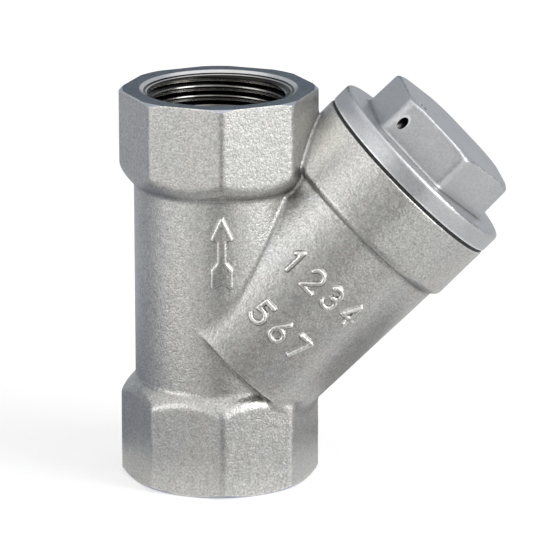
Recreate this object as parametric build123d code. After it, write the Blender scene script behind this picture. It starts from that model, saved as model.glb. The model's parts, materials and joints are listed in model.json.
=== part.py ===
"""Angle-pattern gas filter: threaded body, wire-mesh screen in a slanted branch, screwed cap.

Millimetres. The inlet's end face lies on z = 0 with the run along +Z, which is also the
direction of flow. The branch leans over towards +X. Threads are plain cylinders: each
threaded wall lies at its thread's major diameter.
"""
from build123d import *
import math
import os

# Layout
face_to_face = 72.7
branch_angle = 45.0  # between the run and the branch
axes_meet_height = 21.5  # of the branch axis and the run axis, above the inlet's end face
collar_face_reach = 48.5  # along the branch, from that point to the collar's face

# Pipe thread at both ends
port_thread_radius = 13.22  # major radius
port_thread_length = 14.5
port_countersink = 0.38  # how far the mouth opens past the thread, radially
countersink_angle = 45.0
thread_end_angle = 60.0  # of the cone from the thread's end into the passage

# Run and its octagonal hubs
port_step = 1.22  # from the thread's major radius down to the passage
run_wall = 3.5
run_passage_radius = port_thread_radius - port_step
run_outer_radius = run_passage_radius + run_wall
hub_sides = 8
hub_wall = 3.68  # outside the thread's major radius, at the flats
hub_across_flats = 2 * (port_thread_radius + hub_wall)
hub_corner_round = 2.0
inlet_hub_length = 16.2
outlet_hub_length = 14.8
hub_shoulder_angle = 45.0
hub_shoulder_fillet = 0.8
hub_chamfer_depth = 0.75  # radial depth of the turned chamfer at the corners
hub_chamfer_angle = 30.0

# Screen: a rolled slotted sleeve with a woven liner
screen_outer_radius = 11.1
sleeve_sheet = 0.6
liner_sheet = 0.35
liner_clearance = 0.05
liner_end_margin = 0.5
screen_seat_clearance = 0.15
screen_end_clearance = 0.3
sleeve_slot_width = 2.6
sleeve_slot_gap = 1.5  # between slots of one column, along the sleeve
sleeve_slots_round = 12
sleeve_slot_rows = 7
sleeve_plain_end = 3.5

# Inside of the branch
partition_reach = 4.2  # where the wall between inlet and outlet begins
partition_thickness = 4.0
seat_ledge = 1.3  # how far the seat reaches in under the screen
seat_bore_radius = screen_outer_radius - seat_ledge
seat_recess_depth = 1.8
cap_thread_radius = 16.0  # major radius
cap_thread_length = 11.0
cap_thread_countersink = 0.5
chamber_step = 1.6  # from the cap's thread down to the chamber
chamber_radius = cap_thread_radius - chamber_step

# Branch and its collar
branch_foot_reach = 3.5  # from the axes' meeting point to the branch's closed end
branch_foot_step = 1.7  # how much wider the branch starts than the run
branch_foot_radius = run_outer_radius + branch_foot_step
branch_wall = 3.6  # around the chamber, below the collar
branch_top_radius = chamber_radius + branch_wall
branch_foot_round = 0.6
junction_fillet = 0.8  # where the branch leaves the run
collar_wall = 3.35  # outside the cap's thread
collar_radius = cap_thread_radius + collar_wall
collar_length = 10.1
collar_shoulder_angle = 40.0
collar_shoulder_fillet = 0.6
collar_edge_round = 0.3

# Gasket
gasket_thickness = 0.6
gasket_bore_clearance = 0.25  # around the cap's thread
gasket_rim_inset = 0.15  # from the outside of the collar and the flange

# Cap: its flange has the collar's outside
flange_thickness = 3.6
flange_edge_round = 0.7
spigot_length = 9.6
spigot_clearance = 0.05
spigot_wall = 2.9  # from the thread's major radius to the bore
spigot_relief_width = 1.2
spigot_relief_depth = 1.1
spigot_end_chamfer = 0.8
screen_socket_depth = 5.2
screen_socket_rise = 1.9  # how far the socket reaches past the flange's underside
socket_lead_angle = 45.0
cap_core_radius = 8.2
cap_core_height = 4.2
head_sides = 6
head_across_flats = 26.1
head_corner_round = 1.2
head_height = 7.75
head_draft = 1.2
head_turn = -82.0  # angle of one corner about the branch axis
head_chamfer_depth = 0.9
head_chamfer_angle = 30.0
head_foot_fillet = 0.6
wire_hole_radius = 0.8
wire_hole_height = 3.3
wire_hole_offset = 5.4  # along the flat, from its middle towards the corner
wire_hole_tilt = 50.0  # off the flat's normal, towards the end face

# Modelling allowances
tool_overrun = 0.5  # how far a cutting tool runs past the face that it starts from
blend_sink = 0.04  # how deep a turned blend ends in the surface that it runs out on
touch = 0.001  # for finding edges that lie on a plane


def height_on(slope_angle, radial_run):
    """Axial length of a cone that climbs radial_run at slope_angle from the axis."""
    return radial_run / math.tan(math.radians(slope_angle))


def turned(points, corners=()):
    """Solid of revolution about Z from (radius, height) points, with (point, radius) roundings."""
    outline = make_face(Plane.XZ * Polyline(*points, close=True))
    for point, radius in corners:
        target = Vector(point[0], 0, point[1])
        corner = outline.vertices().sort_by_distance(target)[0]
        outline = fillet(corner, radius)
    return revolve(outline, Axis.Z)


def plain_cylinder(radius, low, high):
    """Cylinder about Z between two heights."""
    return Pos(0, 0, low) * Cylinder(radius, high - low, align=(Align.CENTER, Align.CENTER, Align.MIN))


def rounded_prism(sides, across_flats, corner_round, height, turn=0.0, draft=0.0):
    """Regular prism on z = 0 with one corner at the angle turn and rounded upright edges."""
    sharp_reach = across_flats / 2 / math.cos(math.pi / sides)
    outline = RegularPolygon(sharp_reach, sides)
    outline = fillet(outline.vertices(), corner_round)
    return Rot(0, 0, turn) * extrude(outline, height, taper=draft)


def corner_reach(across_flats, corner_round, sides):
    """Distance from the axis to a rounded corner."""
    return (across_flats / 2 - corner_round) / math.cos(math.pi / sides) + corner_round


# The branch frame: its Z is the branch axis, its Y is the part's Y
lean = math.radians(branch_angle)
branch_axis = Vector(math.sin(lean), 0, math.cos(lean))
branch_across = Vector(math.cos(lean), 0, -math.sin(lean))
branch_frame = Plane((0, 0, axes_meet_height), x_dir=branch_across, z_dir=branch_axis)
on_branch = Location(branch_frame)

# Stations along the branch
collar_rise = height_on(collar_shoulder_angle, collar_radius - branch_top_radius)
neck_reach = collar_face_reach - collar_length - collar_rise
chamber_floor = partition_reach + partition_thickness
screen_seat = chamber_floor - seat_recess_depth
flange_underside = collar_face_reach + gasket_thickness
flange_top = flange_underside + flange_thickness
socket_floor = flange_underside + screen_socket_rise
screen_top = socket_floor - screen_end_clearance


def hub(length):
    """Octagonal hub standing on z = 0: turned end chamfer, eight flats, turned shoulder."""
    reach = corner_reach(hub_across_flats, hub_corner_round, hub_sides)
    face_radius = reach - hub_chamfer_depth
    beyond = reach + hub_chamfer_depth
    chamfer_height = (beyond - face_radius) * math.tan(math.radians(hub_chamfer_angle))
    root_radius = run_outer_radius - blend_sink
    shoulder_start = length - height_on(hub_shoulder_angle, beyond - reach)
    shoulder_end = shoulder_start + height_on(hub_shoulder_angle, beyond - root_radius)
    root = (root_radius, shoulder_end)
    top = shoulder_end + hub_shoulder_fillet
    blank = turned(
        [
            (0, 0),
            (face_radius, 0),
            (beyond, chamfer_height),
            (beyond, shoulder_start),
            root,
            (root_radius, top),
            (0, top),
        ],
        [(root, hub_shoulder_fillet)],
    )
    return blank & rounded_prism(hub_sides, hub_across_flats, hub_corner_round, top)


def branch_limb():
    """The tapered branch without its collar, from its closed foot into the collar."""
    taper = (branch_top_radius - branch_foot_radius) / (neck_reach - branch_foot_reach)
    end_reach = collar_face_reach - collar_length / 4
    end_radius = branch_foot_radius + taper * (end_reach - branch_foot_reach)
    foot = (branch_foot_radius, branch_foot_reach)
    blank = turned(
        [(0, branch_foot_reach), foot, (end_radius, end_reach), (0, end_reach)],
        [(foot, branch_foot_round)],
    )
    return on_branch * blank


def collar():
    """Thick round end of the branch, which takes the cap's thread."""
    root_radius = branch_top_radius - blend_sink
    root = (root_radius, neck_reach)
    low = neck_reach - collar_shoulder_fillet
    rim = (collar_radius, collar_face_reach)
    blank = turned(
        [
            (0, low),
            (root_radius, low),
            root,
            (collar_radius, collar_face_reach - collar_length),
            rim,
            (0, collar_face_reach),
        ],
        [(root, collar_shoulder_fillet), (rim, collar_edge_round)],
    )
    return on_branch * blank


def blended_junction():
    """Plain pipe and branch, with the cast blend where they meet."""
    pipe = plain_cylinder(run_outer_radius, inlet_hub_length / 2, face_to_face - outlet_hub_length / 2)
    limb = branch_limb()
    joined = pipe + limb
    seams = joined.edges() - pipe.edges() - limb.edges()
    crotch = [seam for seam in seams if seam.geom_type not in (GeomType.LINE, GeomType.CIRCLE)]
    return joined.fillet(junction_fillet, crotch)


def port():
    """Threaded port as a tool with its mouth on z = 0: countersink, thread and run-out cone."""
    mouth = height_on(countersink_angle, port_countersink)
    outside = height_on(countersink_angle, tool_overrun)
    end_radius = run_passage_radius - tool_overrun
    end = port_thread_length + height_on(thread_end_angle, port_thread_radius - end_radius)
    return turned(
        [
            (0, -outside),
            (port_thread_radius + port_countersink + tool_overrun, -outside),
            (port_thread_radius, mouth),
            (port_thread_radius, port_thread_length),
            (end_radius, end),
            (0, end),
        ]
    )


def inlet_passage():
    """From the inlet thread up to the partition."""
    passage = plain_cylinder(run_passage_radius, port_thread_length, face_to_face)
    return split(passage, bisect_by=branch_frame.offset(partition_reach), keep=Keep.BOTTOM)


def outlet_passage():
    """From the chamber floor up to the outlet thread."""
    passage = plain_cylinder(run_passage_radius, 0, face_to_face - port_thread_length)
    return split(passage, bisect_by=branch_frame.offset(chamber_floor), keep=Keep.TOP)


def branch_inside():
    """Seat bore, seat recess, chamber and cap thread as one stepped tool."""
    recess_radius = screen_outer_radius + screen_seat_clearance
    thread_start = collar_face_reach - cap_thread_length
    step = height_on(countersink_angle, chamber_step)
    return on_branch * turned(
        [
            (0, 0),
            (seat_bore_radius, 0),
            (seat_bore_radius, screen_seat),
            (recess_radius, screen_seat),
            (recess_radius, chamber_floor),
            (chamber_radius, chamber_floor),
            (chamber_radius, thread_start - step),
            (cap_thread_radius, thread_start),
            (cap_thread_radius, collar_face_reach - cap_thread_countersink),
            (cap_thread_radius + cap_thread_countersink + tool_overrun, collar_face_reach + tool_overrun),
            (0, collar_face_reach + tool_overrun),
        ]
    )


def make_body():
    """Cast body: run, hubs, branch and collar, with its machined ports and seat."""
    outlet_end = Pos(0, 0, face_to_face) * Rot(180, 0, 0)
    body = blended_junction() + collar()
    body += hub(inlet_hub_length)
    body += outlet_end * hub(outlet_hub_length)
    body -= port()
    body -= outlet_end * port()
    body -= inlet_passage()
    body -= outlet_passage()
    body -= branch_inside()
    return body


def make_sleeve():
    """Slotted sleeve that carries the screen's wire liner."""
    inner = screen_outer_radius - sleeve_sheet
    sleeve = plain_cylinder(screen_outer_radius, screen_seat, screen_top)
    sleeve -= plain_cylinder(inner, screen_seat, screen_top)
    slotted = screen_top - screen_seat - 2 * sleeve_plain_end
    row_pitch = (slotted + sleeve_slot_gap) / sleeve_slot_rows
    slot_length = row_pitch - sleeve_slot_gap
    slot = Box(
        2 * sleeve_sheet,
        sleeve_slot_width,
        slot_length,
        align=(Align.CENTER, Align.CENTER, Align.MIN),
    )
    slot = Pos(screen_outer_radius - sleeve_sheet / 2, 0, screen_seat + sleeve_plain_end) * slot
    slots = []
    for row in range(sleeve_slot_rows):
        for place in range(sleeve_slots_round):
            turn = (place + 0.5 * (row % 2)) * 360 / sleeve_slots_round
            slots.append(Pos(0, 0, row * row_pitch) * Rot(0, 0, turn) * slot)
    return on_branch * (sleeve - slots)


def make_liner():
    """Woven wire liner inside the sleeve."""
    outer = screen_outer_radius - sleeve_sheet - liner_clearance
    low = screen_seat + liner_end_margin
    high = screen_top - liner_end_margin
    liner = plain_cylinder(outer, low, high) - plain_cylinder(outer - liner_sheet, low, high)
    return on_branch * liner


def make_gasket():
    """Flat ring between the collar and the cap."""
    outer = collar_radius - gasket_rim_inset
    inner = cap_thread_radius + gasket_bore_clearance
    ring = plain_cylinder(outer, collar_face_reach, flange_underside)
    ring -= plain_cylinder(inner, collar_face_reach, flange_underside)
    return on_branch * ring


def cap_spigot():
    """Flange and threaded spigot, bored to hold the screen's upper end."""
    thread_radius = cap_thread_radius - spigot_clearance
    relief_radius = thread_radius - spigot_relief_depth
    tip = flange_underside - spigot_length
    rim = (collar_radius, flange_top)
    blank = turned(
        [
            (0, tip),
            (thread_radius - spigot_end_chamfer, tip),
            (thread_radius, tip + spigot_end_chamfer),
            (thread_radius, flange_underside - spigot_relief_width),
            (relief_radius, flange_underside - spigot_relief_width),
            (relief_radius, flange_underside),
            (collar_radius, flange_underside),
            rim,
            (0, flange_top),
        ],
        [(rim, flange_edge_round)],
    )
    bore_radius = cap_thread_radius - spigot_wall
    socket_radius = screen_outer_radius + screen_seat_clearance
    socket_mouth = socket_floor - screen_socket_depth
    lead = height_on(socket_lead_angle, bore_radius - socket_radius)
    bore = turned(
        [
            (0, tip),
            (bore_radius, tip),
            (bore_radius, socket_mouth - lead),
            (socket_radius, socket_mouth),
            (socket_radius, socket_floor),
            (cap_core_radius, socket_floor),
            (cap_core_radius, socket_floor + cap_core_height),
            (0, socket_floor + cap_core_height),
        ]
    )
    return blank - bore


def cap_head():
    """Hexagonal head with a turned chamfer, standing on the flange."""
    head = rounded_prism(head_sides, head_across_flats, head_corner_round, head_height, head_turn, head_draft)
    reach = corner_reach(head_across_flats, head_corner_round, head_sides)
    face_radius = reach - head_chamfer_depth - head_height * math.tan(math.radians(head_draft))
    slope = math.tan(math.radians(head_chamfer_angle))
    beyond = face_radius + head_height / slope
    envelope = turned([(0, 0), (beyond, 0), (face_radius, head_height), (0, head_height)])
    return Pos(0, 0, flange_top) * (head & envelope)


def wire_hole():
    """Slanted drilling for a sealing wire, from one flat of the head out of its end face."""
    flat_angle = head_turn - 180 / head_sides
    drill = plain_cylinder(wire_hole_radius, -2 * wire_hole_radius, 2 * head_height)
    place = Pos(head_across_flats / 2, -wire_hole_offset, flange_top + wire_hole_height)
    return Rot(0, 0, flat_angle) * place * Rot(0, wire_hole_tilt - 90, 0) * drill


def make_cap():
    """Screwed cap with its hexagonal head, blended into the flange at its foot."""
    cap = cap_spigot() + cap_head()
    on_top = cap.edges().filter_by_position(Axis.Z, flange_top - touch, flange_top + touch)
    rim = collar_radius - flange_edge_round
    foot = [edge for edge in on_top if edge.bounding_box().size.X < rim]
    return on_branch * (cap.fillet(head_foot_fillet, foot) - wire_hole())


os.makedirs("parts", exist_ok=True)
for name, solid in [
    ("body", make_body()),
    ("screen_sleeve", make_sleeve()),
    ("screen_liner", make_liner()),
    ("gasket", make_gasket()),
    ("cap", make_cap()),
]:
    export_step(solid, os.path.join("parts", name + ".step"))
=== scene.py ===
"""Looks of the angle-pattern gas filter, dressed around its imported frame.

Metres, in the part's own frame: the inlet's end face lies on z = 0, the run goes up along +Z,
and the branch with its cap leans over towards +X. The outsides of the casting and of the cap
are distance fields, so that their edges are soft and their junctions blend. Faces, bores and
threads are cut into them with turned tools, as they are machined on the real filter.
"""

import json
import logging
import math
from dataclasses import dataclass, field, replace
from enum import Enum

import bmesh
import bpy
import numpy as np
from mathutils import Matrix, Vector


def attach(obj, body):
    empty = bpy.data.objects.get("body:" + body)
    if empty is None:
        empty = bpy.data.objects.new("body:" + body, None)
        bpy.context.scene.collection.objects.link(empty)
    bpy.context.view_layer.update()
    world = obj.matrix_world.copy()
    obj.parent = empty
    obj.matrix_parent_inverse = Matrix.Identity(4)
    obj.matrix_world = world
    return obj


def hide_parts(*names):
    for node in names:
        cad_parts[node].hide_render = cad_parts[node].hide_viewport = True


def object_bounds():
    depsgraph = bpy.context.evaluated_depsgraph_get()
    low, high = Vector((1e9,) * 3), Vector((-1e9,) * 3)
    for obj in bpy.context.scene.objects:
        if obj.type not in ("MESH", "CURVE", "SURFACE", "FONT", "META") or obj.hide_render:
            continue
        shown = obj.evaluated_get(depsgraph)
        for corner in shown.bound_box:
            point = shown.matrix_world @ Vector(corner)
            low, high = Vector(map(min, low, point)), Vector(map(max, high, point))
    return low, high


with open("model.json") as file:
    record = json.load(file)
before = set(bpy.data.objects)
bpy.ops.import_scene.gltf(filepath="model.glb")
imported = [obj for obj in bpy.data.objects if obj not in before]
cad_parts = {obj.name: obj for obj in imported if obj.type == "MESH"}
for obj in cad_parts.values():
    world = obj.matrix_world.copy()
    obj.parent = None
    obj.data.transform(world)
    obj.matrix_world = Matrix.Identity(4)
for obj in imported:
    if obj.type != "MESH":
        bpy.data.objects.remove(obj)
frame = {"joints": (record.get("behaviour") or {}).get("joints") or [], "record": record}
cad_low, cad_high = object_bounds()

MM = 0.001
TURNED_SEGMENTS = 144
NOISE_MIDDLE = 0.5
log = logging.getLogger("gas_filter")


class Part(Enum):
    """The bodies that pieces ride on."""

    HOUSING = "housing"
    SCREEN = "screen"
    SEAL = "seal"
    COVER = "cover"


class Value:
    """A number in a node tree. Arithmetic on it adds Math nodes."""

    def __init__(self, graph: "Graph", socket: bpy.types.NodeSocket) -> None:
        self.graph = graph
        self.socket = socket

    def __add__(self, other: "Value | float") -> "Value":
        """Sum."""
        return self.graph.maths("ADD", self, other)

    def __sub__(self, other: "Value | float") -> "Value":
        """Difference."""
        return self.graph.maths("SUBTRACT", self, other)

    def __mul__(self, other: "Value | float") -> "Value":
        """Product."""
        return self.graph.maths("MULTIPLY", self, other)

    def __truediv__(self, other: "Value | float") -> "Value":
        """Quotient."""
        return self.graph.maths("DIVIDE", self, other)

    def __rsub__(self, other: float) -> "Value":
        """A number less this value."""
        return self.graph.maths("SUBTRACT", other, self)

    def __rtruediv__(self, other: float) -> "Value":
        """A number divided by this value."""
        return self.graph.maths("DIVIDE", other, self)

    __radd__ = __add__
    __rmul__ = __mul__

    def __neg__(self) -> "Value":
        """The value with its sign changed."""
        return self * -1.0

    def __abs__(self) -> "Value":
        """Size without sign."""
        return self.graph.maths("ABSOLUTE", self)

    def at_least(self, other: "Value | float") -> "Value":
        """The larger of two numbers."""
        return self.graph.maths("MAXIMUM", self, other)

    def at_most(self, other: "Value | float") -> "Value":
        """The smaller of two numbers."""
        return self.graph.maths("MINIMUM", self, other)

    def clamped(self) -> "Value":
        """The value held between 0 and 1."""
        return self.at_least(0.0).at_most(1.0)

    def root(self) -> "Value":
        """Square root."""
        return self.graph.maths("SQRT", self)

    def joined(self, other: "Value", fillet: "Value | float") -> "Value":
        """Union of two distance fields.

        Args:
            other: the second solid's distance.
            fillet: radius of the blend where the two meet.

        Returns:
            The distance to both solids together.
        """
        a = (fillet - self).at_least(0.0)
        b = (fillet - other).at_least(0.0)
        return self.at_most(other).at_least(fillet) - (a * a + b * b).root()

    def trimmed(self, other: "Value", edge: float) -> "Value":
        """What two distance fields share.

        Args:
            other: the second solid's distance.
            edge: radius of the rounded edge between them.

        Returns:
            The distance to the shared solid.
        """
        a = (self + edge).at_least(0.0)
        b = (other + edge).at_least(0.0)
        return self.at_least(other).at_most(-edge) + (a * a + b * b).root()


class Graph:
    """A node tree that is being built."""

    def __init__(self, tree: bpy.types.NodeTree) -> None:
        self.tree = tree

    def node(self, kind: str, settings: dict | None = None, inputs: dict | None = None) -> bpy.types.Node:
        """Adds one node.

        Args:
            kind: the node's type.
            settings: its own properties, set first; "stops" are a ramp's (place, colour) pairs.
            inputs: a number, Value or socket for each input, by its name or number.

        Returns:
            The new node.
        """
        node = self.tree.nodes.new(kind)
        for name, value in (settings or {}).items():
            if name == "stops":
                elements = node.color_ramp.elements
                while len(elements) < len(value):
                    elements.new(1.0)
                for element, (place, colour) in zip(elements, value):
                    element.position = place
                    element.color = (*colour, 1.0)
            else:
                setattr(node, name, value)
        for key, value in (inputs or {}).items():
            self.feed(node.inputs[key], value)
        return node

    def feed(self, socket: bpy.types.NodeSocket, source: object) -> None:
        """Links a socket to a Value or another socket, or sets it to anything else."""
        if isinstance(source, Value):
            source = source.socket
        if isinstance(source, bpy.types.NodeSocket):
            self.tree.links.new(source, socket)
        else:
            socket.default_value = source

    def value(self, node: bpy.types.Node, output: int | str = 0) -> Value:
        """A node's output as a number."""
        return Value(self, node.outputs[output])

    def maths(self, operation: str, *values: "Value | float") -> Value:
        """A Math node on one, two or three numbers."""
        inputs = dict(enumerate(values))
        return self.value(self.node("ShaderNodeMath", {"operation": operation}, inputs))

    def noise(self, place: bpy.types.NodeSocket, size: float, detail: float) -> Value:
        """Noise from about 0.3 to 0.7.

        Args:
            place: where it is read.
            size: of its features.
            detail: how many finer layers it has.

        Returns:
            The noise.
        """
        inputs = {"Vector": place, "Scale": 1 / size, "Detail": detail}
        return self.value(self.node("ShaderNodeTexNoise", inputs=inputs), "Fac")


class SizedTree(Graph):
    """A geometry tree with named sizes as inputs, which runs once and leaves a plain mesh."""

    def __init__(self, name: str, sizes: dict[str, float]) -> None:
        super().__init__(bpy.data.node_groups.new(name, "GeometryNodeTree"))
        self.name = name
        self.sizes = sizes
        interface = self.tree.interface
        for way in ("OUTPUT", "INPUT"):
            interface.new_socket("Geometry", in_out=way, socket_type="NodeSocketGeometry")
        for size in sizes:
            interface.new_socket(size, in_out="INPUT", socket_type="NodeSocketFloat")
        self.entry = self.tree.nodes.new("NodeGroupInput")

    def size(self, name: str) -> Value:
        """One of the named sizes."""
        return self.value(self.entry, name)

    def position(self) -> tuple[Value, ...]:
        """The three coordinates of a point."""
        place = self.node("GeometryNodeInputPosition").outputs[0]
        parts = self.node("ShaderNodeSeparateXYZ", inputs={0: place})
        return tuple(self.value(parts, axis) for axis in range(3))

    def mesh(
        self,
        geometry: bpy.types.NodeSocket,
        material: bpy.types.Material,
        source: bpy.types.Mesh | None = None,
    ) -> bpy.types.Mesh:
        """Runs the tree.

        Args:
            geometry: the finished geometry.
            material: what it is made of.
            source: mesh that the tree's Geometry input reads, if it reads one.

        Returns:
            The evaluated mesh.
        """
        whole = self.node("GeometryNodeRealizeInstances", inputs={"Geometry": geometry})
        dressed = self.node(
            "GeometryNodeSetMaterial",
            inputs={"Geometry": whole.outputs[0], "Material": material},
        )
        self.node("NodeGroupOutput", inputs={"Geometry": dressed.outputs[0]})
        holder = bpy.data.objects.new(self.name, source or bpy.data.meshes.new(self.name))
        bpy.context.collection.objects.link(holder)
        modifier = holder.modifiers.new(self.name, "NODES")
        modifier.node_group = self.tree
        for item in self.tree.interface.items_tree:
            if item.in_out == "INPUT" and item.name in self.sizes:
                modifier[item.identifier] = self.sizes[item.name]
        graph = bpy.context.evaluated_depsgraph_get()
        mesh = bpy.data.meshes.new_from_object(holder.evaluated_get(graph))
        holder.modifiers.remove(modifier)
        bpy.data.objects.remove(holder)
        return mesh


class DistanceTree(SizedTree):
    """A geometry tree that turns a distance field into a closed mesh."""

    def __init__(self, name: str, sizes: dict[str, float]) -> None:
        super().__init__(name, sizes)
        self.x, self.y, self.z = self.position()

    def reach(self, across: Value, side: Value) -> Value:
        """Distance from an axis."""
        return (across * across + side * side).root()

    def prism(
        self, across: Value, side: Value, sides: int, apothem: "Value | float", edge: float, turn: float
    ) -> Value:
        """Distance to an endless upright prism with rounded edges.

        Args:
            across: first coordinate from the prism's axis.
            side: second coordinate from the prism's axis.
            sides: number of its flats.
            apothem: from the axis to a flat.
            edge: radius of the upright edges.
            turn: angle of one flat's normal, in radians.

        Returns:
            The distance.
        """
        sector = 2 * math.pi / sides
        angle = self.maths("ARCTAN2", side, across) - turn + sector / 2
        local = self.maths("FLOORED_MODULO", angle, sector) - sector / 2
        out = self.reach(across, side)
        inner = apothem - edge
        past_flat = out * self.maths("COSINE", local) - inner
        past_end = abs(out * self.maths("SINE", local)) - inner * math.tan(sector / 2)
        return (
            self.reach(past_flat.at_least(0.0), past_end.at_least(0.0))
            + past_flat.at_most(0.0)
            - edge
        )

    def nearest(self, faces: bool) -> Value:
        """Distance to the source mesh: to its faces, or to its edges."""
        node = self.node(
            "GeometryNodeProximity",
            {"target_element": "FACES" if faces else "EDGES"},
            {0: self.entry.outputs["Geometry"]},
        )
        return self.value(node, "Distance")

    def waves(self, size: float, height: float, seed: float) -> Value:
        """Slow unevenness of a cast surface.

        Args:
            size: length of a wave.
            height: from the lowest to the highest place.
            seed: fixed place in the noise.

        Returns:
            How far the surface moves out.
        """
        noise = self.node(
            "ShaderNodeTexNoise",
            {"noise_dimensions": "4D"},
            {"W": seed, "Scale": 1 / size, "Detail": 1.0},
        )
        return (self.value(noise, "Fac") - NOISE_MIDDLE) * height

    def solid(
        self,
        distance: Value,
        low: tuple[float, float, float],
        high: tuple[float, float, float],
        voxel: float,
        material: bpy.types.Material,
        source: bpy.types.Mesh | None = None,
    ) -> bpy.types.Mesh:
        """Meshes the surface where the distance is nought.

        Args:
            distance: the field, negative inside.
            low: lowest corner of the box around the solid.
            high: its highest corner.
            voxel: edge of a cell.
            material: what the solid is made of.
            source: mesh that the field measures from, if it does.

        Returns:
            A closed, smooth-shaded mesh.
        """
        level = 0.5
        cells = [int(round((b - a) / voxel)) + 1 for a, b in zip(low, high)]
        volume = self.node(
            "GeometryNodeVolumeCube",
            inputs={
                "Density": level - distance / MM,
                "Background": -1.0,
                "Min": low,
                "Max": high,
                "Resolution X": cells[0],
                "Resolution Y": cells[1],
                "Resolution Z": cells[2],
            },
        )
        skin = self.node(
            "GeometryNodeVolumeToMesh",
            {"resolution_mode": "GRID"},
            {"Volume": volume.outputs[0], "Threshold": level, "Adaptivity": 0.0},
        )
        smooth = self.node("GeometryNodeSetShadeSmooth", inputs={"Geometry": skin.outputs[0]})
        return self.mesh(smooth.outputs[0], material, source)


@dataclass(frozen=True)
class Placement:
    """A local frame in the part's frame: where it starts and its three directions."""

    origin: tuple[float, float, float]
    across: tuple[float, float, float]
    side: tuple[float, float, float]
    along: tuple[float, float, float]

    def world(self, points: np.ndarray) -> np.ndarray:
        """Points given in the local frame, in the part's frame."""
        return np.array(self.origin) + points @ np.array([self.across, self.side, self.along])

    def matrix(self) -> Matrix:
        """The same placement as a matrix."""
        columns = [Vector(v).to_4d() for v in (self.across, self.side, self.along)]
        for column in columns:
            column.w = 0.0
        return Matrix([*columns, Vector(self.origin).to_4d()]).transposed()


def read_mount(name: str) -> dict:
    """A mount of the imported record, by its name."""
    return next(m for m in frame["record"]["mounts"] if m["name"] == name)


def branch_placement(meet_height: float) -> Placement:
    """The branch's frame, with its axis read from the cap's joint.

    Args:
        meet_height: where the branch axis leaves the run axis.

    Returns:
        The placement.
    """
    joint = next(j for j in frame["joints"] if j["name"] == "cap_turn")
    x, _, z = joint["axis"]
    return Placement((0.0, 0.0, meet_height), (z, 0.0, -x), (0.0, 1.0, 0.0), (x, 0.0, z))


RUN_LENGTH = read_mount("outlet_port")["pos_m"][2]
INLET = Placement((0.0, 0.0, 0.0), (1.0, 0.0, 0.0), (0.0, 1.0, 0.0), (0.0, 0.0, 1.0))
OUTLET = Placement((0.0, 0.0, RUN_LENGTH), (1.0, 0.0, 0.0), (0.0, -1.0, 0.0), (0.0, 0.0, -1.0))


@dataclass(frozen=True)
class Thread:
    """A right-handed thread, whose rows of points wind up along the helix."""

    major: float
    minor: float
    pitch: float
    flat: float = 0.09  # share of the height that is cut off at crest and root
    phase: float = 0.0  # in turns, how far the groove is moved on
    rows: int = 10  # of points to one turn
    snap: float = 0.01 * MM  # nearer than this to an end is at the end

    def surface(self, start: float, end: float, fade: float = 0.0) -> tuple[np.ndarray, np.ndarray]:
        """Points of the threaded surface between two heights.

        Args:
            start: lowest height.
            end: highest height.
            fade: length over which the groove runs out towards the highest height.

        Returns:
            Heights and radii, a row for each step along the helix and a column for each angle.
        """
        turns = around() / (2 * math.pi)
        first = math.floor(start / self.pitch) - 1
        last = math.ceil(end / self.pitch)
        steps = np.arange((last - first) * self.rows + 1) / self.rows + first
        heights = (steps[:, None] + turns) * self.pitch
        heights = np.where(heights > end - self.snap, end, heights)
        heights = np.where(heights < start + self.snap, start, heights)
        flank = np.abs(2 * ((heights / self.pitch - turns - self.phase) % 1.0) - 1)
        shape = np.clip((flank - self.flat) / (1 - 2 * self.flat), 0.0, 1.0)
        if fade:
            shape = shape * np.clip((end - heights) / fade, 0.0, 1.0)
        return heights, self.minor + (self.major - self.minor) * shape


def around(segments: int = TURNED_SEGMENTS) -> np.ndarray:
    """Evenly spaced angles about an axis."""
    return np.arange(segments) * (2 * math.pi / segments)


def rounded_corner(apothem: float, edge: float, sides: int) -> float:
    """From a prism's axis to one of its rounded corners."""
    return (apothem - edge) / math.cos(math.pi / sides) + edge


def turned(
    name: str,
    heights: list[float] | np.ndarray,
    radii: list[float] | np.ndarray,
    place: Placement,
    material: bpy.types.Material,
    winding: int = 0,
    ring: bool = False,
) -> bpy.types.Object:
    """A turned solid, which may have a thread on it or slanted ends.

    Args:
        name: the object's name.
        heights: along the axis, one for each row of points, or one for each point.
        radii: the same for the distance from the axis.
        place: where its axis lies.
        material: its finish.
        winding: rows that the surface climbs in one turn.
        ring: True if the last row joins the first, False if both ends close on the axis.

    Returns:
        The object.
    """
    angles = around()
    rows = len(heights)
    tall = np.broadcast_to(np.asarray(heights, float).reshape(rows, -1), (rows, len(angles)))
    wide = np.broadcast_to(np.asarray(radii, float).reshape(rows, -1), (rows, len(angles)))
    points = np.stack([wide * np.cos(angles), wide * np.sin(angles), tall], axis=2).reshape(-1, 3)
    here = np.arange(points.shape[0]).reshape(rows, -1)
    climbed = np.minimum(np.arange(rows) + winding, rows - 1)
    beside = np.hstack([here[:, 1:], here[climbed, :1]])
    above, above_beside = np.roll(here, -1, axis=0), np.roll(beside, -1, axis=0)
    faces = np.stack([here, beside, above_beside, above], axis=2)
    faces = (faces if ring else faces[:-1]).reshape(-1, 4).tolist()
    if not ring:
        points = np.vstack([points, [[0.0, 0.0, tall[0].mean()], [0.0, 0.0, tall[-1].mean()]]])
        for edge, pole in ((here[0], len(points) - 2), (here[-1], len(points) - 1)):
            faces += [[pole, a, b] for a, b in zip(np.roll(edge, -1).tolist(), edge.tolist())]
    mesh = bpy.data.meshes.new(name)
    mesh.from_pydata(place.world(points).tolist(), [], faces)
    mesh.materials.append(material)
    close_up(mesh)
    mesh.shade_smooth()
    return shown(name, mesh)


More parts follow.
